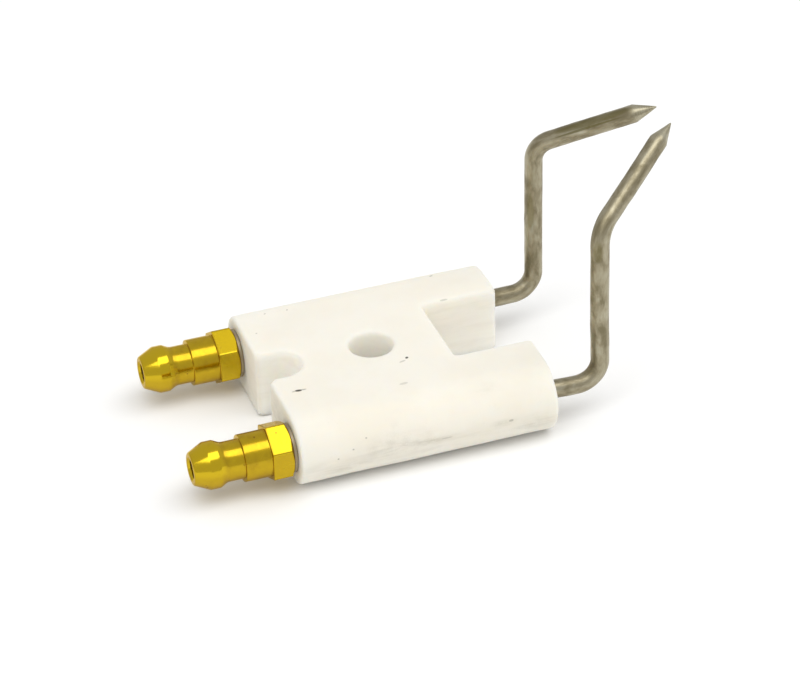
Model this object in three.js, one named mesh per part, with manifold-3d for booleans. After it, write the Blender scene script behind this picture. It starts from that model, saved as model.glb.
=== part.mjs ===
// Twin ignition electrode for a fan burner: a ceramic block that carries two bent, pointed
// electrode rods, each with a screwed-on brass snap terminal for a high-voltage lead.
//
// Millimetres. +X runs along the bores from the terminals to the spark tips, +Y is to the left
// when looking that way, and +Z is up. The block lies on its flat underside, and the origin is
// the middle of the whole assembly's footprint, in the plane of that underside.

import * as THREE from 'three';
import { mergeVertices } from 'three/addons/utils/BufferGeometryUtils.js';
import Module from 'manifold-3d';

const wasm = await Module();
wasm.setup();

// Ceramic block
const BORE_SPACING = 24;
const BLOCK_LENGTH = 35.5;
const BLOCK_THICKNESS = 10;
const BLOCK_EDGE = 0.5;
const SLOT_WIDTH = 6;
const SLOT_DEPTH = 5.5;
const CLAMP_HOLE_DIAMETER = 6;
const CLAMP_HOLE_FROM_END = 15.2;
const NOTCH_WIDTH = 13.2;
const NOTCH_DEPTH = 10.8;
const NOTCH_CORNER = 0.4;
const BORE_DIAMETER = 2.9;
const SPIGOT_POCKET_DIAMETER = 4.4;
const SPIGOT_POCKET_DEPTH = 3.2;
const CEMENT_POCKET_DIAMETER = 5;
const CEMENT_POCKET_DEPTH = 4;

// Electrode rods
const ROD_DIAMETER = 2.5;
const FOOT_BEND_RADIUS = 3.25;
const ELBOW_BEND_RADIUS = 3.75;
const ROD_FORWARD = 7.6;
const ROD_RISE = 23.1;
const TIP_REACH = 21.4;
const TIP_RISE = 30.9;
const SPARK_GAP = 4.8;
const CONE_LENGTH = 3.2;
const CONE_END_DIAMETER = 0.2;
const EAR_LENGTH = 2;
const EAR_WIDTH = 4;
const EAR_THICKNESS = 1.5;

// Snap terminals, turned from hexagon bar
const HEX_ACROSS_FLATS = 7;
const HEX_LENGTH = 2.9;
const HEX_CHAMFER = 0.45;
const BARREL_DIAMETER = 6.3;
const BARREL_LENGTH = 3.5;
const NECK_DIAMETER = 5.3;
const NECK_LENGTH = 2.3;
const HEAD_DIAMETER = 6.35;
const HEAD_BACK_SLOPE = 1;
const HEAD_LAND = 1.3;
const HEAD_CONE = 2.1;
const HEAD_FACE_DIAMETER = 4.3;
const SPIGOT_DIAMETER = 4;
const SPIGOT_LENGTH = 3;
const TERMINAL_BORE_DIAMETER = 2.7;
const TERMINAL_MOUTH_DIAMETER = 3.3;
const TERMINAL_MOUTH_DEPTH = 0.3;
const ROD_RECESS = 0.6;
const RIGHT_TERMINAL_TURN = THREE.MathUtils.degToRad(3);
const LEFT_TERMINAL_TURN = THREE.MathUtils.degToRad(-5);

// Washers between the hexagons and the ceramic
const WASHER_DIAMETER = 6.6;
const WASHER_HOLE_DIAMETER = 4.3;
const WASHER_THICKNESS = 0.5;

// Cement that locks the rods in the spark end of the block
const CEMENT_RECESS = 0.2;
const CEMENT_CLEARANCE = 0.05;

const ROUND_SIDES = 32;
const ROD_SIDES = 16;
const BEND_STEPS = 8;
const OVERCUT = 1;

// Places along X, counted from the block's terminal-end face
const TERMINAL_LENGTH = HEX_LENGTH + BARREL_LENGTH + NECK_LENGTH + HEAD_BACK_SLOPE + HEAD_LAND + HEAD_CONE;
const TERMINAL_FACE_X = -WASHER_THICKNESS - TERMINAL_LENGTH;
const ROD_TAIL_X = TERMINAL_FACE_X + ROD_RECESS;
const TIP_X = BLOCK_LENGTH + TIP_REACH;
const BLOCK_START_X = -(TIP_X + TERMINAL_FACE_X) / 2;
const AXIS_HEIGHT = BLOCK_THICKNESS / 2;

const X_AXIS = new THREE.Vector3(1, 0, 0);
const Y_AXIS = new THREE.Vector3(0, 1, 0);
const Z_AXIS = new THREE.Vector3(0, 0, 1);

// A closed geometry as a manifold solid, with shared vertices joined and empty triangles left out.
function toSolid(geometry) {
  const shell = geometry.clone();
  shell.deleteAttribute('normal');
  shell.deleteAttribute('uv');
  const merged = mergeVertices(shell, 1e-5);
  const index = Array.from(merged.index.array);
  const triangles = [];
  for (let i = 0; i < index.length; i += 3) {
    const [a, b, c] = index.slice(i, i + 3);
    if (a !== b && b !== c && c !== a) triangles.push(a, b, c);
  }
  const mesh = new wasm.Mesh({
    numProp: 3,
    vertProperties: Float32Array.from(merged.attributes.position.array),
    triVerts: Uint32Array.from(triangles),
  });
  return new wasm.Manifold(mesh);
}

function toGeometry(solid) {
  const mesh = solid.getMesh();
  const geometry = new THREE.BufferGeometry();
  geometry.setAttribute('position', new THREE.BufferAttribute(Float32Array.from(mesh.vertProperties), 3));
  geometry.setIndex(new THREE.BufferAttribute(Uint32Array.from(mesh.triVerts), 1));
  geometry.computeVertexNormals();
  return geometry;
}

// A body turned about the X axis, from a list of [x, radius] that runs towards +X.
function turned(profile, sides = ROUND_SIDES) {
  const points = profile.map(([x, radius]) => new THREE.Vector2(radius, x));
  return new THREE.LatheGeometry(points, sides).rotateZ(-Math.PI / 2);
}

// A flat outline in the YZ plane, extruded from startX towards +X.
function extrudedAlongX(shape, startX, length, options = {}) {
  const geometry = new THREE.ExtrudeGeometry(shape, { depth: length, bevelEnabled: false, ...options });
  geometry.applyMatrix4(new THREE.Matrix4().makeBasis(Y_AXIS, Z_AXIS, X_AXIS));
  return geometry.translate(startX, 0, 0);
}

// A flat outline in the XY plane as a cutter that runs through the block's whole thickness.
function throughCutter(shape) {
  const geometry = new THREE.ExtrudeGeometry(shape, {
    depth: BLOCK_THICKNESS + 2 * OVERCUT,
    bevelEnabled: false,
    curveSegments: ROUND_SIDES / 2,
  });
  return geometry.translate(0, 0, -AXIS_HEIGHT - OVERCUT);
}

// The block's section: flat top and bottom, and a half round along each side around the bore.
function blockSection() {
  const half = BORE_SPACING / 2;
  const shape = new THREE.Shape();
  shape.moveTo(-half, -AXIS_HEIGHT);
  shape.lineTo(half, -AXIS_HEIGHT);
  shape.absarc(half, 0, AXIS_HEIGHT, -Math.PI / 2, Math.PI / 2, false);
  shape.lineTo(-half, AXIS_HEIGHT);
  shape.absarc(-half, 0, AXIS_HEIGHT, Math.PI / 2, Math.PI * 1.5, false);
  return shape;
}

// The slot between the terminals, with a half-round inner end.
function terminalSlotOutline() {
  const radius = SLOT_WIDTH / 2;
  const shape = new THREE.Shape();
  shape.moveTo(-OVERCUT, -radius);
  shape.lineTo(SLOT_DEPTH - radius, -radius);
  shape.absarc(SLOT_DEPTH - radius, 0, radius, -Math.PI / 2, Math.PI / 2, false);
  shape.lineTo(-OVERCUT, radius);
  shape.closePath();
  return shape;
}

// The rectangular notch between the two arms at the spark end, with small corner radii.
function sparkNotchOutline() {
  const half = NOTCH_WIDTH / 2;
  const innerX = BLOCK_LENGTH - NOTCH_DEPTH;
  const cornerX = innerX + NOTCH_CORNER;
  const cornerY = half - NOTCH_CORNER;
  const shape = new THREE.Shape();
  shape.moveTo(BLOCK_LENGTH + OVERCUT, -half);
  shape.lineTo(BLOCK_LENGTH + OVERCUT, half);
  shape.absarc(cornerX, cornerY, NOTCH_CORNER, Math.PI / 2, Math.PI, false);
  shape.absarc(cornerX, -cornerY, NOTCH_CORNER, Math.PI, Math.PI * 1.5, false);
  shape.closePath();
  return shape;
}

function clampHoleOutline() {
  const shape = new THREE.Shape();
  shape.absarc(CLAMP_HOLE_FROM_END, 0, CLAMP_HOLE_DIAMETER / 2, 0, Math.PI * 2, false);
  return shape;
}

// A rod's way through the block: spigot pocket, long bore, cement pocket.
function boreCutter() {
  const spigotEnd = SPIGOT_POCKET_DEPTH;
  const cementStart = BLOCK_LENGTH - CEMENT_POCKET_DEPTH;
  return turned([
    [-OVERCUT, 0],
    [-OVERCUT, SPIGOT_POCKET_DIAMETER / 2],
    [spigotEnd, SPIGOT_POCKET_DIAMETER / 2],
    [spigotEnd, BORE_DIAMETER / 2],
    [cementStart, BORE_DIAMETER / 2],
    [cementStart, CEMENT_POCKET_DIAMETER / 2],
    [BLOCK_LENGTH + OVERCUT, CEMENT_POCKET_DIAMETER / 2],
    [BLOCK_LENGTH + OVERCUT, 0],
  ]);
}

function ceramicBlock() {
  const body = extrudedAlongX(blockSection(), BLOCK_EDGE, BLOCK_LENGTH - 2 * BLOCK_EDGE, {
    bevelEnabled: true,
    bevelThickness: BLOCK_EDGE,
    bevelSize: BLOCK_EDGE,
    bevelOffset: -BLOCK_EDGE,
    bevelSegments: 2,
    curveSegments: ROUND_SIDES / 2,
  });
  let solid = toSolid(body);
  for (const outline of [terminalSlotOutline(), sparkNotchOutline(), clampHoleOutline()]) {
    solid = solid.subtract(toSolid(throughCutter(outline)));
  }
  for (const side of [-1, 1]) {
    const cutter = boreCutter().translate(0, side * BORE_SPACING / 2, 0);
    solid = solid.subtract(toSolid(cutter));
  }
  return toGeometry(solid);
}

// The axis of a bent rod: straight between its corners, with an arc of its own radius at each
// one. It is sampled at its two ends and along the arcs only, so a straight stretch is one step.
class BentAxis extends THREE.Curve {
  constructor(corners, bendRadii, bendSteps) {
    super();
    this.points = [corners[0]];
    this.tangents = [corners[1].clone().sub(corners[0]).normalize()];
    for (let i = 1; i < corners.length - 1; i += 1) {
      const arriving = corners[i].clone().sub(corners[i - 1]).normalize();
      const leaving = corners[i + 1].clone().sub(corners[i]).normalize();
      this.addBend(corners[i], arriving, leaving, bendRadii[i - 1], bendSteps);
    }
    this.points.push(corners[corners.length - 1]);
    this.tangents.push(this.tangents[this.tangents.length - 1]);
    this.steps = this.points.length - 1;
  }

  addBend(corner, arriving, leaving, radius, steps) {
    const angle = arriving.angleTo(leaving);
    const start = corner.clone().addScaledVector(arriving, -radius * Math.tan(angle / 2));
    const inward = leaving.clone().addScaledVector(arriving, -Math.cos(angle)).normalize();
    const centre = start.clone().addScaledVector(inward, radius);
    for (let step = 0; step <= steps; step += 1) {
      const turn = angle * step / steps;
      const point = centre.clone().addScaledVector(inward, -radius * Math.cos(turn));
      this.points.push(point.addScaledVector(arriving, radius * Math.sin(turn)));
      const tangent = arriving.clone().multiplyScalar(Math.cos(turn));
      this.tangents.push(tangent.addScaledVector(inward, Math.sin(turn)));
    }
  }

  getPointAt(u, target = new THREE.Vector3()) {
    return target.copy(this.points[Math.round(u * this.steps)]);
  }

  getTangentAt(u, target = new THREE.Vector3()) {
    return target.copy(this.tangents[Math.round(u * this.steps)]);
  }
}

// The pointed end of a rod, from a little inside the round stock to the blunt point.
function tipCone(base, direction) {
  const profile = [
    [-CONE_LENGTH / 4, 0],
    [-CONE_LENGTH / 4, ROD_DIAMETER / 2],
    [0, ROD_DIAMETER / 2],
    [CONE_LENGTH, CONE_END_DIAMETER / 2],
    [CONE_LENGTH, 0],
  ];
  const cone = turned(profile, ROD_SIDES);
  cone.applyQuaternion(new THREE.Quaternion().setFromUnitVectors(X_AXIS, direction));
  return cone.translate(base.x, base.y, base.z);
}

// Two flats swaged out of the rod, which seat on the floor of the cement pocket.
function rodEars() {
  const ears = new THREE.BoxGeometry(EAR_LENGTH, EAR_WIDTH, EAR_THICKNESS);
  return ears.translate(BLOCK_LENGTH - CEMENT_POCKET_DEPTH + EAR_LENGTH / 2, 0, 0);
}

// One rod, with its bore axis on the X axis: through the terminal and the block, up, then
// forward and inward to its point. side is +1 for the left rod and -1 for the right one.
function electrodeRod(side) {
  const riserX = BLOCK_LENGTH + ROD_FORWARD;
  const inward = -side * (BORE_SPACING - SPARK_GAP) / 2;
  const elbow = new THREE.Vector3(riserX, 0, ROD_RISE);
  const tip = new THREE.Vector3(TIP_X, inward, TIP_RISE);
  const direction = tip.clone().sub(elbow).normalize();
  const coneBase = tip.clone().addScaledVector(direction, -CONE_LENGTH);
  const corners = [
    new THREE.Vector3(ROD_TAIL_X, 0, 0),
    new THREE.Vector3(riserX, 0, 0),
    elbow,
    coneBase,
  ];
  const axis = new BentAxis(corners, [FOOT_BEND_RADIUS, ELBOW_BEND_RADIUS], BEND_STEPS);
  const section = new THREE.Shape();
  section.absarc(0, 0, ROD_DIAMETER / 2, 0, Math.PI * 2, false);
  const stock = new THREE.ExtrudeGeometry(section, {
    extrudePath: axis,
    steps: axis.steps,
    curveSegments: ROD_SIDES,
  });
  const solid = toSolid(stock).add(toSolid(tipCone(coneBase, direction)));
  return toGeometry(solid.add(toSolid(rodEars())));
}

// The hexagon, corner up, with its ceramic-side edges chamfered as on a nut.
function hexagonSolid() {
  const cornerRadius = HEX_ACROSS_FLATS / Math.sqrt(3);
  const outline = new THREE.Shape();
  for (let i = 0; i < 6; i += 1) {
    const angle = Math.PI / 2 + i * Math.PI / 3;
    const y = cornerRadius * Math.cos(angle);
    const z = cornerRadius * Math.sin(angle);
    if (i === 0) outline.moveTo(y, z);
    else outline.lineTo(y, z);
  }
  outline.closePath();
  const chamferTop = cornerRadius + 0.1;
  const chamferBottom = chamferTop - HEX_CHAMFER / Math.tan(Math.PI / 6);
  const rounding = turned([
    [-HEX_LENGTH - OVERCUT, 0],
    [-HEX_LENGTH - OVERCUT, chamferTop],
    [-HEX_CHAMFER, chamferTop],
    [0, chamferBottom],
    [0, 0],
  ]);
  const prism = extrudedAlongX(outline, -HEX_LENGTH, HEX_LENGTH);
  return toSolid(prism).intersect(toSolid(rounding));
}

// One snap terminal, with its hexagon's ceramic-side face at x = 0 and its head towards -X.
function snapTerminal() {
  const barrelX = -HEX_LENGTH - BARREL_LENGTH;
  const neckX = barrelX - NECK_LENGTH;
  const landX = neckX - HEAD_BACK_SLOPE;
  const coneX = landX - HEAD_LAND;
  const faceX = coneX - HEAD_CONE;
  const outside = turned([
    [faceX, 0],
    [faceX, HEAD_FACE_DIAMETER / 2],
    [coneX, HEAD_DIAMETER / 2],
    [landX, HEAD_DIAMETER / 2],
    [neckX, NECK_DIAMETER / 2],
    [barrelX, NECK_DIAMETER / 2],
    [barrelX, BARREL_DIAMETER / 2],
    [-HEX_LENGTH / 2, BARREL_DIAMETER / 2],
    [-HEX_LENGTH / 2, SPIGOT_DIAMETER / 2],
    [SPIGOT_LENGTH, SPIGOT_DIAMETER / 2],
    [SPIGOT_LENGTH, 0],
  ]);
  const bore = turned([
    [faceX - OVERCUT, 0],
    [faceX - OVERCUT, TERMINAL_MOUTH_DIAMETER / 2],
    [faceX, TERMINAL_MOUTH_DIAMETER / 2],
    [faceX + TERMINAL_MOUTH_DEPTH, TERMINAL_BORE_DIAMETER / 2],
    [SPIGOT_LENGTH + OVERCUT, TERMINAL_BORE_DIAMETER / 2],
    [SPIGOT_LENGTH + OVERCUT, 0],
  ]);
  const blank = toSolid(outside).add(hexagonSolid());
  return toGeometry(blank.subtract(toSolid(bore)));
}

function washer() {
  const hole = WASHER_HOLE_DIAMETER / 2;
  const rim = WASHER_DIAMETER / 2;
  return turned([
    [-WASHER_THICKNESS, hole],
    [-WASHER_THICKNESS, rim],
    [0, rim],
    [0, hole],
    [-WASHER_THICKNESS, hole],
  ]);
}

// The cement fills its pocket around the rod and the rod's ears, just short of the end face.
function rodCement() {
  const startX = BLOCK_LENGTH - CEMENT_POCKET_DEPTH + CEMENT_CLEARANCE;
  const endX = BLOCK_LENGTH - CEMENT_RECESS;
  const outer = CEMENT_POCKET_DIAMETER / 2 - CEMENT_CLEARANCE;
  const inner = ROD_DIAMETER / 2 + CEMENT_CLEARANCE;
  const plug = turned([
    [startX, 0],
    [startX, outer],
    [endX, outer],
    [endX, 0],
  ]);
  const hole = turned([
    [startX - OVERCUT, 0],
    [startX - OVERCUT, inner],
    [endX + OVERCUT, inner],
    [endX + OVERCUT, 0],
  ]);
  const cavity = new THREE.BoxGeometry(
    EAR_LENGTH + 2 * CEMENT_CLEARANCE,
    EAR_WIDTH + 2 * CEMENT_CLEARANCE,
    EAR_THICKNESS + 2 * CEMENT_CLEARANCE,
  ).translate(BLOCK_LENGTH - CEMENT_POCKET_DEPTH + EAR_LENGTH / 2, 0, 0);
  const solid = toSolid(plug).subtract(toSolid(hole));
  return toGeometry(solid.subtract(toSolid(cavity)));
}

const steatite = new THREE.MeshStandardMaterial({ color: 0xeeebe2, roughness: 0.75, metalness: 0 });
const brass = new THREE.MeshStandardMaterial({ color: 0xd2a91c, roughness: 0.28, metalness: 1 });
const heatAlloy = new THREE.MeshStandardMaterial({ color: 0x8d8573, roughness: 0.45, metalness: 1 });
const springSteel = new THREE.MeshStandardMaterial({ color: 0x5c5850, roughness: 0.5, metalness: 1 });
const cement = new THREE.MeshStandardMaterial({ color: 0xd6cfbf, roughness: 0.95, metalness: 0 });

const assembly = new THREE.Group();
assembly.position.set(BLOCK_START_X, 0, AXIS_HEIGHT);

function place(name, geometry, material, y = 0, x = 0, turn = 0) {
  const mesh = new THREE.Mesh(geometry, material);
  mesh.name = name;
  mesh.position.set(x, y, 0);
  mesh.rotation.x = turn;
  assembly.add(mesh);
}

place('ceramic_block', ceramicBlock(), steatite);
for (const [hand, side, turn] of [['left', 1, LEFT_TERMINAL_TURN], ['right', -1, RIGHT_TERMINAL_TURN]]) {
  const boreY = side * BORE_SPACING / 2;
  place(`electrode_rod_${hand}`, electrodeRod(side), heatAlloy, boreY);
  place(`snap_terminal_${hand}`, snapTerminal(), brass, boreY, -WASHER_THICKNESS, turn);
  place(`washer_${hand}`, washer(), springSteel, boreY);
  place(`rod_cement_${hand}`, rodCement(), cement, boreY);
}

export default assembly;
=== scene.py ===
"""Twin ignition electrode: fired ceramic block, two bent wire rods, two brass snap terminals,
their washers and the cement, modelled over the fixed frame and set on a plain pale stage."""

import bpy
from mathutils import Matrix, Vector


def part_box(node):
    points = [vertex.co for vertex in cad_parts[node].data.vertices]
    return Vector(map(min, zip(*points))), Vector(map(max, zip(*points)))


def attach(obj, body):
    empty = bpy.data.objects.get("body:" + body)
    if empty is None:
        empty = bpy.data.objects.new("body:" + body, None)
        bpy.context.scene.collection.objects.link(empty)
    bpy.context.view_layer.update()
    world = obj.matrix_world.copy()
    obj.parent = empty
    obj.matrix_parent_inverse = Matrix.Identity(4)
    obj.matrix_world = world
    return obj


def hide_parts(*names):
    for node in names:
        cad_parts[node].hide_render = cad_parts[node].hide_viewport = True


bl_info = {
    "name": "Twin ignition electrode",
    "version": (1, 0, 0),
    "blender": (4, 5, 0),
    "location": "3D View > Sidebar > Electrode",
    "description": "Models a twin ignition electrode: block, rods, terminals, washers and cement",
    "category": "Add Mesh",
}

import math

import bmesh
import bpy
import numpy as np
from bpy.props import FloatProperty, FloatVectorProperty, IntProperty, PointerProperty
from bpy.types import Operator, Panel, PropertyGroup
from mathutils import Matrix, Vector

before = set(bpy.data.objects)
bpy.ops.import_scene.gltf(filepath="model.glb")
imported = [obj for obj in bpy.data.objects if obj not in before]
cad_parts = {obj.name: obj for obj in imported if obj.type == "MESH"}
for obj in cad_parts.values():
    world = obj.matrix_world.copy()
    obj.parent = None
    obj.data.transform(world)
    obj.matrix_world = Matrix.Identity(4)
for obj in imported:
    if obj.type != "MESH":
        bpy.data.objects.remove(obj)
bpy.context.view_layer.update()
BODY = "root"
MM = 0.001
FULL_TURN = 2 * math.pi

# Places that every piece shares, all read from the frame.
BLOCK_LOW, BLOCK_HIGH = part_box("ceramic_block")
SIDE_RADIUS = (BLOCK_HIGH.z - BLOCK_LOW.z) / 2
AXIS_Z = (BLOCK_HIGH.z + BLOCK_LOW.z) / 2
BORE_Y = BLOCK_HIGH.y - SIDE_RADIUS
SEAT_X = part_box("washer_left")[0].x
SIDES = {"left": 1, "right": -1}


def bore_centre(side):
    """The point on one bore's axis where x is 0."""
    return Vector((0, side * BORE_Y, AXIS_Z))


# ---------------------------------------------------------------- sizes and colours

def distance(name, millimetres, description):
    """A length in the sidebar, given here in millimetres."""
    return FloatProperty(
        name=name, description=description, default=millimetres * MM,
        min=0, precision=5, subtype="DISTANCE", unit="LENGTH",
    )


def angle(name, degrees, description):
    """An angle in the sidebar, given here in degrees."""
    return FloatProperty(
        name=name, description=description, default=math.radians(degrees), subtype="ANGLE",
        unit="ROTATION",
    )


def colour(name, default, description):
    """A linear colour in the sidebar."""
    return FloatVectorProperty(
        name=name, description=description, default=default, min=0, max=1, size=3, subtype="COLOR",
    )


class BlockSettings(PropertyGroup):
    """Fired ceramic block"""

    slot_width: distance("Slot width", 6, "Width of the round-ended slot between the terminals")
    slot_depth: distance("Slot depth", 5.5, "How far the slot runs in from the terminal end")
    hole_diameter: distance("Clamp hole", 6, "Diameter of the clamp hole")
    hole_from_end: distance("Hole from end", 15.2, "Clamp hole's axis, from the terminal end")
    notch_width: distance("Notch width", 13.2, "Gap between the two arms at the spark end")
    notch_depth: distance("Notch depth", 10.8, "How far the notch runs in from the spark end")
    bore_diameter: distance("Bore", 2.9, "Bore that a rod passes through")
    spigot_pocket: distance("Spigot pocket", 4.4, "Diameter of the pocket for the terminal's spigot")
    spigot_pocket_depth: distance("Spigot pocket depth", 3.2, "Depth of the spigot pocket")
    cement_pocket: distance("Cement pocket", 5, "Diameter of the pocket that holds the cement")
    cement_pocket_depth: distance("Cement pocket depth", 4, "Depth of the cement pocket")
    grain: distance("Mesh grain", 0.225, "Spacing of the fired surface's points")
    rounding: IntProperty(
        name="Rounding", description="Passes that soften the pressed edges", default=10, min=0, max=60,
    )
    waviness: distance("Waviness", 0.018, "How far the fired faces depart from flat")
    body: colour("Body", (0.848, 0.816, 0.732), "Clean fired ceramic")
    # Painted light: this whiter colour lightens the walls of the slot, hole and notch to stand in for
    # the light bounced inside them, as well as for cleaner ceramic there.
    inner: colour("Inner walls", (0.975, 0.940, 0.872), "Untouched walls of the slot, hole and notch")
    warm: colour("Warm patches", (0.832, 0.794, 0.700), "Slightly yellower patches in the body")
    # This grey is also the colour of the painted shade on the block's faces that turn downwards.
    handled_and_shade: colour("Handling marks", (0.52, 0.49, 0.40), "Grey film where the block was handled")
    scuff: colour("Scuffs", (0.10, 0.09, 0.07), "Metal rubbed off on the ceramic")


class RodSettings(PropertyGroup):
    """Bent electrode rods"""

    wire: distance("Wire", 2.5, "Diameter of the electrode wire")
    forward: distance("Forward", 7.6, "From the spark end of the block to the riser's axis")
    rise: distance("Rise", 23.1, "From the bore's axis up to the second bend's corner")
    spark_gap: distance("Spark gap", 4.8, "Distance between the two points")
    foot_bend: distance("Foot bend", 3.25, "Bend radius at the foot of the riser, on the axis")
    elbow_bend: distance("Elbow bend", 3.75, "Bend radius at the top of the riser, on the axis")
    point_length: distance("Point", 3.2, "Length of the ground point")
    point_end: distance("Point end", 0.2, "Diameter that the point is blunted to")
    ears_inside: distance("Ears inside", 4, "From the spark end of the block to the ears' far end")
    ear_length: distance("Ear length", 2, "Length of the swaged ears")
    ear_width: distance("Ear width", 4, "Width over the swaged ears")
    ear_thickness: distance("Ear thickness", 1.5, "Thickness of the swaged ears")
    thread_pitch: distance("Thread pitch", 0.45, "Pitch of the threaded tail")
    thread_depth: distance("Thread depth", 0.16, "Depth of the threaded tail's groove")
    kink: distance("Kink", 0.045, "How far the hand-bent wire strays from its line outside the block")
    alloy: colour("Alloy", (0.362, 0.322, 0.222), "Drawn wire as it is after firing")
    pale: colour("Rubbed streaks", (0.550, 0.532, 0.415), "Streaks rubbed bright along the wire")
    olive: colour("Olive oxide", (0.150, 0.128, 0.042), "Patches of yellow-green oxide")
    burnt: colour("Oxide streaks", (0.130, 0.104, 0.046), "Olive-brown oxide streaks")


class TerminalSettings(PropertyGroup):
    """Brass snap terminals"""

    across_flats: distance("Across flats", 7, "Hexagon across flats")
    hexagon: distance("Hexagon", 2.9, "Length of the hexagon")
    chamfer: distance("Chamfer", 0.45, "Length of the chamfer on the hexagon's ceramic side")
    barrel: distance("Barrel", 6.3, "Diameter of the barrel next to the hexagon")
    barrel_length: distance("Barrel length", 3.5, "Length of the barrel")
    neck: distance("Neck", 5.3, "Diameter of the neck behind the head")
    neck_length: distance("Neck length", 2.3, "Length of the neck")
    head: distance("Head", 6.35, "Diameter of the snap head")
    head_back: distance("Head back slope", 1, "Length of the slope from the neck up to the head")
    head_land: distance("Head land", 1.3, "Length of the head's full diameter")
    face: distance("Front face", 4.3, "Outer diameter of the flat front ring")
    spigot: distance("Spigot", 4, "Diameter of the spigot inside the block")
    bore: distance("Bore", 2.7, "Bore that the rod's tail screws into")
    mouth: distance("Mouth", 3.3, "Diameter of the countersunk mouth")
    mouth_depth: distance("Mouth depth", 0.3, "Depth of the countersink")
    thread_depth: distance("Thread depth", 0.09, "Depth of the bore's thread")
    left_turn: angle("Left turn", -5, "Left hexagon's turn about its axis from corner up")
    right_turn: angle("Right turn", 3, "Right hexagon's turn about its axis from corner up")
    brass: colour("Brass", (0.610, 0.425, 0.004), "Clean turned brass")
    # This brown is also the colour of the painted shade on the terminals' undersides.
    aged_and_shaded: colour("Aged brass", (0.400, 0.245, 0.003), "Brass browned in corners and by fingers")
    pit: colour("Pits", (0.16, 0.06, 0.01), "Dark specks in the brass")


class WasherSettings(PropertyGroup):
    """Washers under the hexagons"""

    hole: distance("Hole", 4.3, "Diameter of the washer's hole")
    edge: distance("Edge", 0.09, "Rounding of the stamped edges")
    warp: distance("Warp", 0.012, "How far the washer is bent out of flat")
    steel: colour("Steel", (0.380, 0.325, 0.230), "Dark oiled steel")
    worn: colour("Worn steel", (0.56, 0.49, 0.37), "Where the hexagon rubbed the steel")


class CementSettings(PropertyGroup):
    """Cement round the rods at the spark end"""

    clearance: distance("Clearance", 0.03, "Space left between the cement and what it holds")
    bond: distance("Bond", 0.02, "How far the cement soaks into the pocket's wall")
    creep: distance("Creep", 0.35, "How far the cement climbs along the wire and the pocket's wall")
    roughness: distance("Roughness", 0.07, "Height of the lumps on the cement's face")
    grey: colour("Cement", (0.640, 0.600, 0.500), "Set cement")
    sand: colour("Sand", (0.420, 0.370, 0.280), "Darker grains in the cement")


class StageSettings(PropertyGroup):
    """Floor, light and camera"""

    floor: colour("Floor", (0.97, 0.97, 0.965), "Plain pale floor")
    surround: FloatProperty(
        name="Surround", description="Brightness of the plain grey studio", default=0.68, min=0,
    )
    softbox: FloatProperty(
        name="Softbox", description="Brightness of the overhead softbox", default=1.88, min=0,
    )
    softbox_length: distance("Softbox length", 1700, "Length along the bores")
    softbox_width: distance("Softbox width", 500, "Width across the bores")
    softbox_height: distance("Softbox height", 800, "Distance from the object")
    softbox_from: FloatVectorProperty(
        name="Softbox from", description="Direction in which the softbox hangs",
        default=(0.08, -0.28, 0.95), size=3, subtype="XYZ",
    )
    azimuth: angle("Azimuth", -18.13, "Camera's turn from looking along +Y")
    elevation: angle("Elevation", 33.25, "Camera's angle above the horizon")
    roll: angle("Roll", -2, "Camera's turn about its own axis")
    away: distance("Distance", 434.6, "Camera's distance from its target")
    target: FloatVectorProperty(
        name="Target", description="What the camera looks at, from the middle of the bores' plane",
        default=(-0.555 * MM, 5.547 * MM, 0), size=3, subtype="TRANSLATION", unit="LENGTH",
    )
    lens: FloatProperty(name="Lens", description="Focal length in millimetres", default=144, min=1)


# ---------------------------------------------------------------- finishes

class Signal:
    """A shader socket that is used in sums like a number. Each sum adds its Math node."""

    def __init__(self, finish, socket):
        self.finish = finish
        self.socket = socket

    def _math(self, operation, first, second):
        return self.finish.node("ShaderNodeMath", {"operation": operation}, {0: first, 1: second})

    def __add__(self, other):
        return self._math("ADD", self, other)

    def __radd__(self, other):
        return self._math("ADD", other, self)

    def __sub__(self, other):
        return self._math("SUBTRACT", self, other)

    def __rsub__(self, other):
        return self._math("SUBTRACT", other, self)

    def __mul__(self, other):
        return self._math("MULTIPLY", self, other)

    def __rmul__(self, other):
        return self._math("MULTIPLY", other, self)

    def larger(self, *others):
        """The largest of this and other values."""
        top = self
        for other in others:
            top = self._math("MAXIMUM", top, other)
        return top


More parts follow.
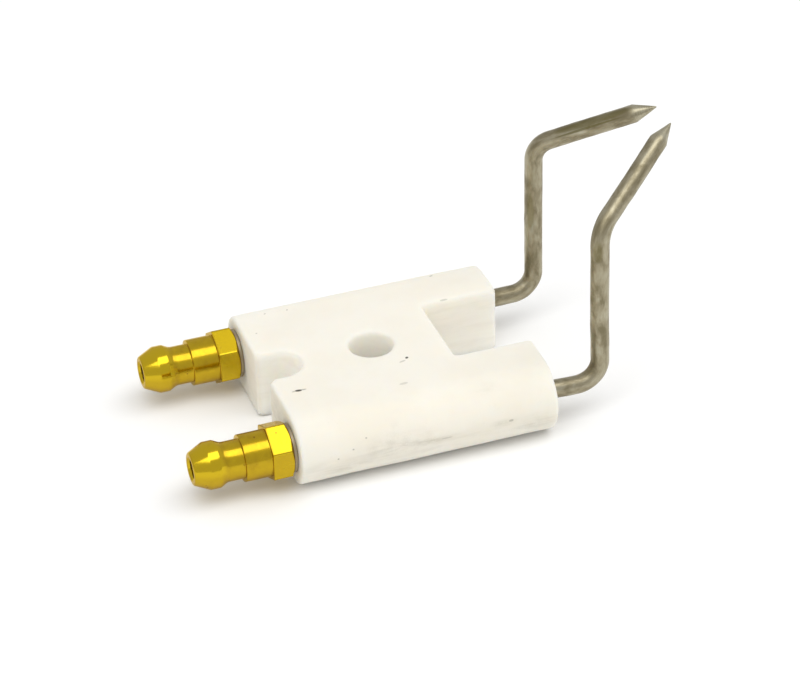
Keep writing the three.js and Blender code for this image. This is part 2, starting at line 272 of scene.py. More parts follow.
class Finish:
    """One procedural material, built round a single Principled shader."""

    MIX_FACTOR, MIX_FIRST, MIX_SECOND, MIX_RESULT = 0, 6, 7, 2

    def __init__(self, name):
        self.material = bpy.data.materials.new(name)
        self.material.use_nodes = True
        self.tree = self.material.node_tree
        self.shader = self.tree.nodes["Principled BSDF"]

    def node(self, kind, settings=None, sockets=None, output=0):
        """Adds a node, its settings first, then its sockets' values or links."""
        made = self.tree.nodes.new(kind)
        for name, value in (settings or {}).items():
            setattr(made, name, value)
        self._fill(made, sockets or {})
        return Signal(self, made.outputs[output])

    def _fill(self, made, sockets):
        for name, value in sockets.items():
            if isinstance(value, Signal):
                self.tree.links.new(value.socket, made.inputs[name])
            else:
                made.inputs[name].default_value = value

    def shade(self, **sockets):
        """Sets the shader's sockets, named in lower case with underscores, and gives the material."""
        names = {name.lower().replace(" ", "_"): name for name in self.shader.inputs.keys()}
        self._fill(self.shader, {names[key]: value for key, value in sockets.items()})
        return self.material

    def place(self):
        """Position on the object in millimetres."""
        where = self.node("ShaderNodeTexCoord", output="Object")
        return self.node("ShaderNodeVectorMath", {"operation": "SCALE"}, {0: where, "Scale": 1 / MM})

    def carried(self, name):
        """A number that the mesh carries at each of its points."""
        return self.node("ShaderNodeAttribute", {"attribute_name": name}, output="Fac")

    def carried_place(self, name):
        """A position that the mesh carries at each of its points."""
        return self.node("ShaderNodeAttribute", {"attribute_name": name}, output="Vector")

    def squeezed(self, where, scale):
        """A position scaled differently along each axis, to draw noise out along one of them."""
        values = {"Vector": where, "Scale": scale}
        return self.node("ShaderNodeMapping", {"vector_type": "POINT"}, values)

    def noise(self, where, scale, detail=3.0, roughness=0.55, distortion=0.0):
        """Soft noise from 0 to 1, with scale lumps to the millimetre."""
        values = {
            "Vector": where, "Scale": scale, "Detail": detail, "Roughness": roughness,
            "Distortion": distortion,
        }
        return self.node("ShaderNodeTexNoise", None, values)

    def cells(self, where, scale):
        """Distance to the nearest of randomly strewn points, with scale points to the millimetre."""
        return self.node("ShaderNodeTexVoronoi", None, {"Vector": where, "Scale": scale}, "Distance")

    def fade(self, value, low, high):
        """0 below low, 1 above high and smooth between them, or the other way round."""
        settings = {"interpolation_type": "SMOOTHSTEP"}
        values = {"Value": value, "From Min": low, "From Max": high}
        return self.node("ShaderNodeMapRange", settings, values)

    def mix(self, factor, first, second):
        """A colour from first to second by factor. Colours are triples or signals."""
        ends = [end if isinstance(end, Signal) else (*end, 1) for end in (first, second)]
        sockets = {self.MIX_FACTOR: factor, self.MIX_FIRST: ends[0], self.MIX_SECOND: ends[1]}
        return self.node("ShaderNodeMix", {"data_type": "RGBA"}, sockets, self.MIX_RESULT)

    def part_of(self, vector, axis):
        """One component of a vector."""
        return self.node("ShaderNodeSeparateXYZ", None, {0: vector}, axis)

    def facing(self, axis):
        """The surface normal's component along X, Y or Z."""
        return self.part_of(self.node("ShaderNodeNewGeometry", output="Normal"), axis)

    def spot(self, where, centre, size, turn=0.0, soft=0.5):
        """1 inside an ellipsoid of that size in millimetres, turned about Z, and 0 outside it."""
        values = {"Vector": where, "Location": centre, "Rotation": (0, 0, turn), "Scale": size}
        inside = self.node("ShaderNodeMapping", {"vector_type": "TEXTURE"}, values)
        far = self.node("ShaderNodeVectorMath", {"operation": "LENGTH"}, {0: inside}, "Value")
        return self.fade(far, 1, 1 - soft)

    def bump(self, height, micrometres):
        """A normal bumped by a height from 0 to 1."""
        depth = micrometres * MM / 1000
        return self.node("ShaderNodeBump", None, {"Height": height, "Distance": depth, "Strength": 1.0})


def steatite_finish(look):
    """Unglazed fired steatite: warm white, faintly mottled, with pores, grime and rubbed-on metal, a
    painted shade on the faces that turn downwards and painted bounce light on the walls of the slot,
    hole and notch.
    """
    finish = Finish("steatite")
    place = finish.place()
    patches = finish.noise(place, 0.11, 3, 0.6)
    mottle = finish.noise(place, 0.75, 4, 0.6)
    grain = finish.noise(place, 5.5, 3, 0.65)
    pores = finish.fade(finish.cells(place, 1.6), 0.10, 0.04) * finish.fade(mottle, 0.50, 0.60)
    edge = finish.carried("edge")
    recess_painted_light = finish.carried("recess_painted_light")

    # Painted shade: every face that turns downwards gets a constant grey share (0.30) as shade, with
    # grime smears on top of it. The grey mix below carries this shade together with the real dirt.
    side = finish.fade(finish.facing("Z"), 0.16, -0.14)
    upright = finish.fade(finish.facing("Z"), 0.9, 0.5)
    smear = finish.noise(finish.squeezed(place, (0.16, 0.5, 0.9)), 1, 5, 0.62, 0.6)
    film = side * (0.30 + finish.fade(smear, 0.38, 0.68) * 1.0)
    fingers = upright * finish.fade(finish.noise(place, 0.34, 5, 0.7), 0.60, 0.76)
    rim = finish.fade(edge, 0.25, 0.8) * finish.fade(finish.noise(place, 1.3, 4, 0.7), 0.56, 0.68)
    clouds = [finish.spot(place, centre, size, soft=1) * strength for centre, size, strength in SMEARS]
    smears = clouds[0].larger(*clouds[1:])
    patchy = finish.fade(smear * 0.5 + mottle * 0.3 + grain * 0.2, 0.40, 0.60)
    grime_and_shade = film * 0.18 + fingers * 0.12 + rim * 0.30 + pores * 0.35 + smears * (0.25 + patchy)

    ragged = finish.noise(place, 3.2, 4, 0.7)
    scuffs = []
    for centre, size, turn, strength in SCUFFS:
        rubbed = finish.spot(place, centre, size, turn, 0.9) * (0.45 + ragged)
        scuffs.append(finish.fade(rubbed, 0.35, 0.62) * strength)
    marks = scuffs[0].larger(*scuffs[1:])

    tone = finish.mix(finish.fade(patches, 0.38, 0.66), look.body, look.warm)
    tone = finish.mix(finish.fade(mottle, 0.52, 0.75) * 0.22, tone, look.warm)
    tone = finish.mix(finish.fade(grain, 0.62, 0.80) * 0.10, tone, look.handled_and_shade)
    # Painted bounce light on the walls of the slot, hole and notch.
    tone = finish.mix(recess_painted_light, tone, look.inner)
    tone = finish.mix(grime_and_shade, tone, look.handled_and_shade)
    tone = finish.mix(marks, tone, look.scuff)
    relief = grain * 0.6 + mottle * 0.5 - pores * 1.6
    return finish.shade(
        base_color=tone,
        roughness=0.58 + grain * 0.22 - marks * 0.25,
        normal=finish.bump(relief, 14),
        specular_ior_level=0.35,
        subsurface_weight=0.8,
        subsurface_radius=(1.0, 0.85, 0.65),
        subsurface_scale=2.8 * MM,
    )


def alloy_finish(look):
    """Heat-resistant wire: satin, with drawn streaks of oxide and rubbed metal along its length."""
    finish = Finish("heat_alloy")
    drawn = finish.carried_place("drawn")
    ground = finish.carried("ground")
    long_streaks = finish.noise(finish.squeezed(drawn, (0.16, 0.9, 0.9)), 1, 4, 0.55, 0.4)
    fine_streaks = finish.noise(finish.squeezed(drawn, (0.9, 5.0, 5.0)), 1, 4, 0.62)
    blotches = finish.noise(finish.squeezed(drawn, (0.34, 0.80, 0.80)), 1, 4, 0.60, 0.3)
    scale = finish.fade(long_streaks * 0.6 + blotches, 0.92, 0.60)
    rubbed = finish.fade(long_streaks * 0.5 + fine_streaks * 0.3 + blotches * 0.6, 0.70, 0.98)
    rings = finish.noise(finish.squeezed(drawn, (7.0, 0.8, 0.8)), 1, 4, 0.6)
    tone = finish.mix(scale * 0.58, look.alloy, look.burnt)
    tone = finish.mix(rubbed * 0.68, tone, look.pale)
    tone = finish.mix(finish.fade(fine_streaks, 0.55, 0.72) * 0.16, tone, look.burnt)
    for centre, size, strength in OXIDE:
        patch = finish.spot(drawn, centre, size, soft=0.7) * (0.4 + long_streaks)
        tone = finish.mix(finish.fade(patch, 0.30, 0.85) * strength, tone, look.olive)
    tone = finish.mix(ground * (0.15 + finish.fade(rings, 0.40, 0.66) * 0.25), tone, look.pale)
    relief = fine_streaks * 0.4 + blotches * 1.2 + ground * rings * 0.25
    return finish.shade(
        base_color=tone,
        metallic=1.0,
        roughness=0.30 + scale * 0.16 + fine_streaks * 0.14 - rubbed * 0.06,
        normal=finish.bump(relief, 9),
    )


def brass_finish(look):
    """Turned brass: bands round the axis, bar marks along the hexagon, browned corners and pits, and a
    painted shade on the underside that dims its reflection of the floor.
    """
    finish = Finish("brass")
    place = finish.place()
    hexagon = finish.carried("hexagon")
    corner = finish.carried("corner")
    turning = finish.noise(finish.squeezed(place, (11.0, 0.35, 0.35)), 1, 4, 0.62)
    bar_marks = finish.noise(finish.squeezed(place, (0.5, 5.0, 5.0)), 1, 4, 0.62)
    clouds = finish.noise(place, 0.62, 5, 0.62)
    pits = finish.fade(finish.cells(place, 0.85), 0.16, 0.07) * finish.fade(clouds, 0.50, 0.60)
    marks = turning * (1 - hexagon) + bar_marks * hexagon
    # Painted shade: the underside is browned to dim its reflection of the pale floor. The mask below
    # holds both this shade and the real patina in the corners.
    under = finish.fade(finish.facing("Z"), 0.22, -0.12)
    aged_and_shaded = finish.fade(corner * 0.60 + clouds * 0.50, 0.55, 1.05)
    aged_and_shaded = aged_and_shaded.larger(under * (0.30 + clouds * 0.4))
    tone = finish.mix(finish.fade(clouds, 0.55, 0.8) * 0.35, look.brass, look.aged_and_shaded)
    tone = finish.mix(aged_and_shaded * 0.85, tone, look.aged_and_shaded)
    tone = finish.mix(finish.fade(marks, 0.60, 0.80) * 0.25, tone, look.aged_and_shaded)
    tone = finish.mix(pits * 0.8, tone, look.pit)
    relief = marks * 0.7 + clouds * 1.2 - pits * 4.0
    return finish.shade(
        base_color=tone,
        metallic=1.0,
        roughness=0.13 + hexagon * 0.07 + marks * 0.06 + aged_and_shaded * 0.12 + pits * 0.25,
        normal=finish.bump(relief, 1.5),
        coat_weight=0.38,
        coat_roughness=0.12,
        specular_tint=(0.85, 0.70, 0.30, 1),
    )


def washer_finish(look):
    """Dark oiled steel, rubbed brighter on its rim."""
    finish = Finish("spring_steel")
    place = finish.place()
    film = finish.noise(place, 1.4, 5, 0.65)
    specks = finish.noise(place, 6.0, 3, 0.6)
    rubbed = finish.fade(film, 0.52, 0.72)
    tone = finish.mix(rubbed, look.steel, look.worn)
    tone = finish.mix(finish.fade(specks, 0.6, 0.75) * 0.4, tone, look.steel)
    return finish.shade(
        base_color=tone,
        metallic=1.0,
        roughness=0.36 + film * 0.25,
        normal=finish.bump(film * 0.5 + specks * 0.6, 8),
    )


def cement_finish(look):
    """Set ceramic cement: matt, gritty, with darker grains."""
    finish = Finish("cement")
    place = finish.place()
    lumps = finish.noise(place, 2.2, 5, 0.7)
    grit = finish.cells(place, 4.5)
    grains = finish.fade(grit, 0.32, 0.16) * finish.fade(lumps, 0.45, 0.60)
    tone = finish.mix(finish.fade(lumps, 0.40, 0.70) * 0.5, look.grey, look.sand)
    tone = finish.mix(grains * 0.7, tone, look.sand)
    return finish.shade(
        base_color=tone,
        roughness=0.84 + lumps * 0.14,
        normal=finish.bump(lumps - grit * 0.5, 45),
        specular_ior_level=0.25,
    )


def floor_finish(look):
    """Plain pale studio floor with the faintest cloudiness."""
    finish = Finish("floor")
    clouds = finish.noise(finish.place(), 0.01, 3)
    shade = [0.985 * value for value in look.floor]
    return finish.shade(
        base_color=finish.mix(clouds, look.floor, shade),
        roughness=0.85 + clouds * 0.1,
        specular_ior_level=0.1,
    )


# ---------------------------------------------------------------- mesh work

def skin(rings, loop=False):
    """Points and faces over a stack of rings. Its ends are closed by fans, or loop joins them."""
    rings = np.asarray(rings, float)
    count, around = rings.shape[:2]
    points = rings.reshape(-1, 3)
    ring = np.arange(count if loop else count - 1)[:, None]
    step = np.arange(around)[None, :]
    start, after = ring * around, (ring + 1) % count * around
    turn = (step + 1) % around
    quads = np.stack([start + step, start + turn, after + turn, after + step], axis=-1)
    faces = quads.reshape(-1, 4).tolist()
    if not loop:
        hubs = [rings[0].mean(0), rings[-1].mean(0)]
        for hub, first in ((len(points), 0), (len(points) + 1, (count - 1) * around)):
            faces += [[first + i, first + (i + 1) % around, hub] for i in range(around)]
        points = np.vstack([points, *hubs])
    return points, faces


def new_mesh(name, points, faces):
    """A closed mesh whose faces point out."""
    mesh = bpy.data.meshes.new(name)
    mesh.from_pydata([tuple(point) for point in points], [], faces)
    work = bmesh.new()
    work.from_mesh(mesh)
    bmesh.ops.recalc_face_normals(work, faces=work.faces)
    work.to_mesh(mesh)
    work.free()
    return mesh


def new_object(name, mesh):
    made = bpy.data.objects.new(name, mesh)
    bpy.context.scene.collection.objects.link(made)
    return made


def new_piece(name, mesh, material, sharp_degrees):
    """A smooth-shaded piece that keeps edges sharper than that angle."""
    mesh.materials.append(material)
    mesh.shade_smooth()
    mesh.set_sharp_from_angle(angle=math.radians(sharp_degrees))
    return new_object(name, mesh)


def settle(piece, node):
    """Puts a piece on the frame's body in the place of its plain solid."""
    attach(piece, BODY)
    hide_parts(node)


def carry(mesh, name, values, kind="FLOAT"):
    """Stores a number or a vector at every point of a mesh, for its finish to read."""
    field = {"FLOAT": "value", "FLOAT_VECTOR": "vector"}[kind]
    made = mesh.attributes.new(name, kind, "POINT")
    made.data.foreach_set(field, np.ascontiguousarray(values, np.float32).ravel())


def points_of(mesh):
    points = np.zeros(len(mesh.vertices) * 3)
    mesh.vertices.foreach_get("co", points)
    return points.reshape(-1, 3)


def normals_of(mesh):
    normals = np.zeros(len(mesh.vertices) * 3)
    mesh.vertex_normals.foreach_get("vector", normals)
    return normals.reshape(-1, 3)


def move_points(mesh, points):
    mesh.vertices.foreach_set("co", points.ravel())
    mesh.update()


def relaxed(points, edges, passes, share=0.5):
    """Points drawn towards the mean of their neighbours, which rounds all edges alike."""
    first, second = edges.T
    count = len(points)
    neighbours = np.bincount(edges.ravel(), minlength=count)[:, None]
    for _ in range(passes):
        total = [
            np.bincount(first, along[second], count) + np.bincount(second, along[first], count)
            for along in points.T
        ]
        points = points + share * (np.stack(total, axis=1) / neighbours - points)
    return points


def ripple(points, wavelength, seed, waves=24):
    """Smooth seeded noise of about unit height, as a sum of waves in random directions."""
    rng = np.random.default_rng(seed)
    heading = rng.normal(size=(waves, 3))
    heading /= np.linalg.norm(heading, axis=1)[:, None]
    lengths = wavelength * rng.uniform(0.6, 1.7, waves)
    phase = rng.uniform(0, FULL_TURN, waves)
    swing = points @ (heading * (FULL_TURN / lengths)[:, None]).T + phase
    return np.cos(swing).sum(1) * math.sqrt(2 / waves)


def ease(value, low, high):
    """0 below low, 1 above high, and smooth between them."""
    share = np.clip((value - low) / (high - low), 0, 1)
    return share * share * (3 - 2 * share)


def arc(centre, radius, start, end, steps):
    """Points of a flat arc, its angles in degrees."""
    turns = np.radians(np.linspace(start, end, steps))
    return [(centre[0] + radius * math.cos(t), centre[1] + radius * math.sin(t)) for t in turns]


def softened(profile, steps=4):
    """A flat outline of (x, radius, fillet) corners with each corner eased over its fillet."""
    points = []
    for index, (x, radius, fillet) in enumerate(profile):
        corner = np.array((x, radius))
        before = np.array(profile[index - 1][:2]) - corner
        after = np.array(profile[(index + 1) % len(profile)][:2]) - corner
        room = 0.45 * min(np.linalg.norm(before), np.linalg.norm(after))
        reach = min(fillet, room)
        if reach < 1e-7:
            points.append(corner)
            continue
        start = corner + before / np.linalg.norm(before) * reach
        end = corner + after / np.linalg.norm(after) * reach
        for share in np.linspace(0, 1, steps + 1):
            inner = (1 - share) ** 2 * start + 2 * share * (1 - share) * corner + share ** 2 * end
            points.append(inner)
    return np.array(points)


def rings_about_bore(x, radius, angles, side):
    """Rings round one bore's axis. x and radius hold a value for each ring, or for each point."""
    x, radius = (np.atleast_2d(values.T).T * np.ones(len(angles)) for values in (x, radius))
    centre = bore_centre(side)
    return np.stack([
        x,
        centre.y + radius * np.cos(angles),
        centre.z + radius * np.sin(angles),
    ], axis=-1)


# ---------------------------------------------------------------- ceramic block

# Metal rubbed off on the ceramic, in millimetres: centre, half sizes, turn about Z and strength.
SCUFFS = (
    ((-18.8, -7.0, 10.0), (0.85, 0.4, 1.0), -0.1, 1.0),
    ((-18.2, -7.0, 10.0), (0.95, 0.25, 1.0), -0.05, 0.5),
    ((-19.4, -7.0, 10.0), (0.6, 0.25, 1.0), 0.0, 0.4),
    ((-3.1, -4.9, 10.0), (0.45, 0.35, 1.0), 0.9, 1.0),
    ((-3.9, -5.5, 10.0), (0.9, 0.3, 1.0), 0.3, 0.3),
    ((-5.5, -10.5, 10.0), (1.1, 0.45, 1.0), 0.05, 0.22),
    ((-14.3, 12.2, 9.9), (0.25, 0.2, 1.0), 0.0, 0.6),
    ((6.8, 13.3, 9.8), (0.45, 0.3, 1.0), 0.3, 0.55),
    ((-19.9, 8.1, 10.0), (0.25, 0.2, 1.0), 0.4, 0.4),
    ((-17.4, 12.4, 9.9), (0.3, 0.2, 1.0), 0.2, 0.45),
    ((6.3, 6.8, 9.9), (1.0, 0.2, 0.5), 0.0, 0.3),
    ((7.0, -17.0, 5.1), (0.6, 1.0, 0.3), 0.0, 0.35),
    ((-1.9, -17.0, 4.6), (1.3, 1.0, 0.2), 0.0, 0.22),
    ((-16.8, -17.0, 5.1), (0.25, 0.8, 0.2), 0.0, 0.45),
    ((-14.7, -16.9, 6.0), (0.25, 0.8, 0.2), 0.0, 0.4),
    ((-12.8, -16.5, 7.1), (0.25, 0.8, 0.2), 0.0, 0.35),
)
# Soft grey smears, in millimetres: centre, half sizes and strength.
SMEARS = (
    ((-8.5, -16.8, 5.2), (8.0, 2.4, 2.9), 0.32),
    ((-4.2, -17.0, 4.8), (5.0, 1.6, 0.8), 0.42),
    ((5.9, -17.0, 4.9), (3.0, 1.6, 0.9), 0.38),
    ((10.5, -16.6, 3.8), (5.0, 2.2, 2.0), 0.26),
    ((-15.5, -16.4, 3.2), (5.0, 2.2, 1.4), 0.26),
    ((-21.6, -16.0, 3.2), (1.4, 1.2, 1.6), 0.30),
    ((-21.6, 8.6, 3.4), (1.0, 1.2, 1.8), 0.30),
    ((4.5, -14.6, 9.2), (3.5, 1.6, 1.2), 0.14),
    ((-21.6, -6.4, 5.0), (1.4, 4.0, 6.0), 0.30),
)
CHIP_COUNT = 34
CHIP_RADIUS = (0.25 * MM, 0.75 * MM)
CHIP_DEPTH = (0.04 * MM, 0.14 * MM)
EDGE_PASSES = 4
EDGE_PULL = 0.1 * MM  # how far those passes pull a point that lies right on an edge
WAVE_LENGTH = 11 * MM
RIPPLE_LENGTH = 1.6 * MM
RIPPLE_SHARE = 0.25
CUT_PAST = 1 * MM
RECESS_MARGIN = 0.8 * MM
NOTCH_SHARE = 0.65


def flat_prism(outline, low, high):
    """A prism on an outline in the XY plane."""
    return [[(x, y, z) for x, y in outline] for z in (low, high)]


def block_stock():
    """The pressed bar that the block's openings are cut from: flat faces and half-round sides."""
    outline = arc((BORE_Y, AXIS_Z), SIDE_RADIUS, -90, 90, 40)
    outline += arc((-BORE_Y, AXIS_Z), SIDE_RADIUS, 90, 270, 40)
    return [[(x, y, z) for y, z in outline] for x in (BLOCK_LOW.x, BLOCK_HIGH.x)]


def block_openings(shape):
    """The slot, the clamp hole, the spark notch and both stepped bores, as solids to cut away."""
    low, high = BLOCK_LOW.z - CUT_PAST, BLOCK_HIGH.z + CUT_PAST
    outside, beyond = BLOCK_LOW.x - CUT_PAST, BLOCK_HIGH.x + CUT_PAST
    slot_radius = shape.slot_width / 2
    slot = [(outside, slot_radius), (outside, -slot_radius)]
    slot += arc((BLOCK_LOW.x + shape.slot_depth - slot_radius, 0), slot_radius, -90, 90, 33)
    hole_radius = shape.hole_diameter / 2
    hole = arc((BLOCK_LOW.x + shape.hole_from_end, 0), hole_radius, 0, 360, 65)[:-1]
    half, inner = shape.notch_width / 2, BLOCK_HIGH.x - shape.notch_depth
    notch = [(inner, -half), (beyond, -half), (beyond, half), (inner, half)]
    openings = [flat_prism(outline, low, high) for outline in (slot, hole, notch)]

    spigot_end = BLOCK_LOW.x + shape.spigot_pocket_depth
    cement_start = BLOCK_HIGH.x - shape.cement_pocket_depth
    x = np.array([outside, spigot_end, spigot_end, cement_start, cement_start, beyond])
    diameter = np.repeat([shape.spigot_pocket, shape.bore_diameter, shape.cement_pocket], 2)
    angles = np.linspace(0, FULL_TURN, 64, endpoint=False)
    return openings + [rings_about_bore(x, diameter / 2, angles, side) for side in SIDES.values()]


def cut_and_remeshed(shape):
    """The block's mesh after its openings are cut, with an even grain of points all over it."""
    points, faces = [], []
    for rings in block_openings(shape):
        more, corners = skin(rings)
        faces += [[index + len(points) for index in face] for face in corners]
        points += more.tolist()
    cutter = new_object("openings", new_mesh("openings", points, faces))
    stock = new_object("stock", new_mesh("stock", *skin(block_stock())))
    cut = stock.modifiers.new("cut", "BOOLEAN")
    cut.operation = "DIFFERENCE"
    cut.solver = "EXACT"
    cut.object = cutter
    even = stock.modifiers.new("even", "REMESH")
    even.mode = "VOXEL"
    even.voxel_size = shape.grain
    depsgraph = bpy.context.evaluated_depsgraph_get()
    mesh = bpy.data.meshes.new_from_object(stock.evaluated_get(depsgraph))
    for helper in (stock, cutter):
        bpy.data.objects.remove(helper)
    return mesh


def chipped(points, normals, edge):
    """Points with small shell-shaped chips knocked out at seeded places on the edges."""
    rng = np.random.default_rng(11)
    on_edge = points[edge > 0.5]
    low, high = np.array(BLOCK_LOW), np.array(BLOCK_HIGH)
    for _ in range(CHIP_COUNT):
        near = rng.uniform(low, high)
        centre = on_edge[np.argmin(((on_edge - near) ** 2).sum(1))]
        radius, depth = rng.uniform(*CHIP_RADIUS), rng.uniform(*CHIP_DEPTH)
        offset = points - centre
        reach = np.linalg.norm(offset, axis=1) / radius
        inside = reach < 1.6
        ragged = reach[inside] + 0.22 * ripple(points[inside], 0.5 * radius, rng.integers(1000))
        push = depth * (1 - ease(ragged, 0.45, 1))
        points[inside] -= normals[inside] * push[:, None]
    return points


def inner_walls(points, shape):
    """1 on the walls of the slot and the clamp hole, less on the notch's, and 0 on the outer faces:
    where the painted bounce light goes.
    """
    x, y, z = points.T
    above = ease(z, BLOCK_LOW.z, BLOCK_LOW.z + RECESS_MARGIN)
    below = 1 - ease(z, BLOCK_HIGH.z - RECESS_MARGIN, BLOCK_HIGH.z)
    behind = ease(x, BLOCK_LOW.x, BLOCK_LOW.x + RECESS_MARGIN)
    half, notch_x = shape.notch_width / 2, BLOCK_HIGH.x - shape.notch_depth
    between = 1 - ease(np.abs(y), half + 0.1 * MM, half + 0.4 * MM)
    in_notch = ease(x, notch_x - RECESS_MARGIN, notch_x)
    return above * below * behind * between * (1 - (1 - NOTCH_SHARE) * in_notch)


def build_block(shape):
    """Cuts, rounds, fires and wears the ceramic block."""
    mesh = cut_and_remeshed(shape)
    if not mesh.vertices:
        raise RuntimeError("the block's remesh came out empty")
    edges = np.zeros(len(mesh.edges) * 2, np.int64)
    mesh.edges.foreach_get("vertices", edges)
    edges = edges.reshape(-1, 2)
    points = relaxed(points_of(mesh), edges, shape.rounding)
    move_points(mesh, points)
    normals = normals_of(mesh)
    pulled = relaxed(points, edges, EDGE_PASSES) - points
    inward = -(pulled * normals).sum(1)
    edge = np.clip(inward / EDGE_PULL, 0, 1)
    points = points + normals * (shape.waviness * ripple(points, WAVE_LENGTH, 5))[:, None]
    fine = RIPPLE_SHARE * shape.waviness * ripple(points, RIPPLE_LENGTH, 6)
    points += normals * fine[:, None]
    move_points(mesh, chipped(points, normals, edge))
    carry(mesh, "edge", edge)
    carry(mesh, "recess_painted_light", inner_walls(points, shape))
    piece = new_piece("ceramic_block_fired", mesh, steatite_finish(shape), 180)
    settle(piece, "ceramic_block")


# ---------------------------------------------------------------- electrode rods

# Oxide patches in millimetres: distance along the wire and place round it, half sizes, strength.
OXIDE = (
    ((127, 0.1, 1.2), (10.0, 1.0, 1.0), 0.65),
    ((126, -0.65, 1.1), (9.0, 0.25, 0.4), 0.7),
    ((108, -0.9, 0.8), (4.5, 0.8, 0.9), 0.45),
    ((35, -0.9, 0.7), (2.5, 1.1, 1.2), 0.45),
    ((50, 0.9, 0.8), (5.0, 0.7, 0.7), 0.5),
)
ROD_AROUND = 40
LONG_STEP = 0.5 * MM
EAR_STEP = 0.08 * MM
EAR_MARGIN = 0.2 * MM
BEND_STEP = math.radians(5)
THREAD_STEPS = 8
EAR_RISE = 0.3 * MM
EAR_FALL = 0.6 * MM
EAR_SQUARENESS = 2.5
POINT_FLATS = 5
POINT_FLAT_DEPTH = 0.03
WEAR = 0.006
KINK_LENGTH = 16 * MM
RODS_APART = 40  # keeps the two wires' streaks from matching, in millimetres


def bent_axis(corners, bend_radii):
    """Points and directions along a wire's axis: straight stretches, with an arc at each corner."""
    points, headings = [corners[0]], [(corners[1] - corners[0]).normalized()]
    for before, corner, after, radius in zip(corners, corners[1:], corners[2:], bend_radii):
        arriving, leaving = (corner - before).normalized(), (after - corner).normalized()
        angle = arriving.angle(leaving)
        start = corner - arriving * radius * math.tan(angle / 2)
        inward = (leaving - arriving * math.cos(angle)).normalized()
        centre = start + inward * radius
        for turn in np.linspace(0, angle, max(2, round(angle / BEND_STEP))):
            points.append(centre - inward * radius * math.cos(turn) + arriving * radius * math.sin(turn))
            headings.append(arriving * math.cos(turn) + inward * math.sin(turn))
    points.append(corners[-1])
    headings.append(headings[-1])
    return points, headings


def refined(points, headings, steps_at):
    """The same axis with its straight stretches divided by steps_at, a step length for each x."""
    fine, fine_headings = [points[0]], [headings[0]]
    for start, end, heading in zip(points, points[1:], headings[1:]):
        span = (end - start).length
        travelled = 0.0
        while travelled < span:
            step = steps_at(start.lerp(end, travelled / span).x)
            travelled = span if span - travelled < 1.5 * step else travelled + step
            fine.append(start.lerp(end, travelled / span))
            fine_headings.append(heading)
    return fine, fine_headings


def carried_frames(headings):
    """Side and up directions along an axis, turned no more than the axis itself turns."""
    sides, ups = [Vector((0, 1, 0))], [Vector((0, 0, 1))]
    for before, heading in zip(headings, headings[1:]):
        turn = before.rotation_difference(heading)
        sides.append(turn @ sides[-1])
        ups.append(turn @ ups[-1])
    return np.array(sides), np.array(ups)


def rod_corners(shape, side):
    """The wire's tail end, its two bends and its point. The tail and the point come from the frame."""
    low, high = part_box("electrode_rod_left")
    bore = bore_centre(side)
    riser_x = BLOCK_HIGH.x + shape.forward
    return [
        Vector((low.x, bore.y, bore.z)),
        Vector((riser_x, bore.y, bore.z)),
        Vector((riser_x, bore.y, bore.z + shape.rise)),
        Vector((high.x, side * shape.spark_gap / 2, high.z)),
    ]


def thread_groove(x, pitch, angles):
    """Depth of a V thread from 0 to 1 at each x and angle."""
    turns = (x / pitch)[:, None] - angles / FULL_TURN
    return 1 - np.abs(2 * (turns % 1) - 1)


def ear_radius(shape, swaged, angles):
    """The wire's radius where it is swaged flat. swaged goes from 0 to 1."""
    wire = shape.wire / 2
    wide = wire + (shape.ear_width / 2 - wire) * swaged
    thin = wire + (shape.ear_thickness / 2 - wire) * swaged
    power = 2 + EAR_SQUARENESS * swaged
    across, up = np.abs(np.cos(angles) / wide), np.abs(np.sin(angles) / thin)
    return (across ** power + up ** power) ** (-1 / power)


def rod_radius(shape, x, along, left, angles, in_block):
    """The wire's radius at each ring and angle: threaded tail, swaged ears and ground point."""
    wire = shape.wire / 2
    radius = np.full((len(x), len(angles)), wire)
    threaded = in_block * (1 - ease(x, SEAT_X, SEAT_X + 2 * shape.thread_pitch))
    radius -= shape.thread_depth * thread_groove(x, shape.thread_pitch, angles) * threaded[:, None]
    chamfer = 0.72 * wire + along * 0.8
    radius = np.minimum(radius, chamfer[:, None])

    ear_start = BLOCK_HIGH.x - shape.ears_inside
    ear_end = ear_start + shape.ear_length
    rising = ease(x, ear_start, ear_start + EAR_RISE)
    swaged = (in_block * rising * (1 - ease(x, ear_end - EAR_FALL, ear_end)))[:, None]
    radius = np.where(swaged > 0, ear_radius(shape, swaged, angles), radius)

    share = np.clip(left / shape.point_length, 0, 1)[:, None]
    point = shape.point_end / 2 + (wire - shape.point_end / 2) * share
    flats = 1 - POINT_FLAT_DEPTH * (1 - share) * (1 + np.cos(POINT_FLATS * angles + 0.7)) / 2
    return np.where(share < 1, point * flats, radius)


def rod_axis(shape, side):
    """The wire's axis in short steps: its points, its side and up directions and its length so far."""
    points, headings = bent_axis(rod_corners(shape, side), (shape.foot_bend, shape.elbow_bend))
    ear_start = BLOCK_HIGH.x - shape.ears_inside - EAR_MARGIN
    ear_end = ear_start + shape.ear_length + 1.5 * EAR_MARGIN

    def step_at(x):
        if x < SEAT_X + 2 * shape.thread_pitch:
            return shape.thread_pitch / THREAD_STEPS
        return EAR_STEP if ear_start < x < ear_end else LONG_STEP

    centres, headings = refined(points, headings, step_at)
    centres = np.array(centres)
    steps = np.linalg.norm(np.diff(centres, axis=0), axis=1)
    return centres, *carried_frames(headings), np.concatenate([[0], np.cumsum(steps)])


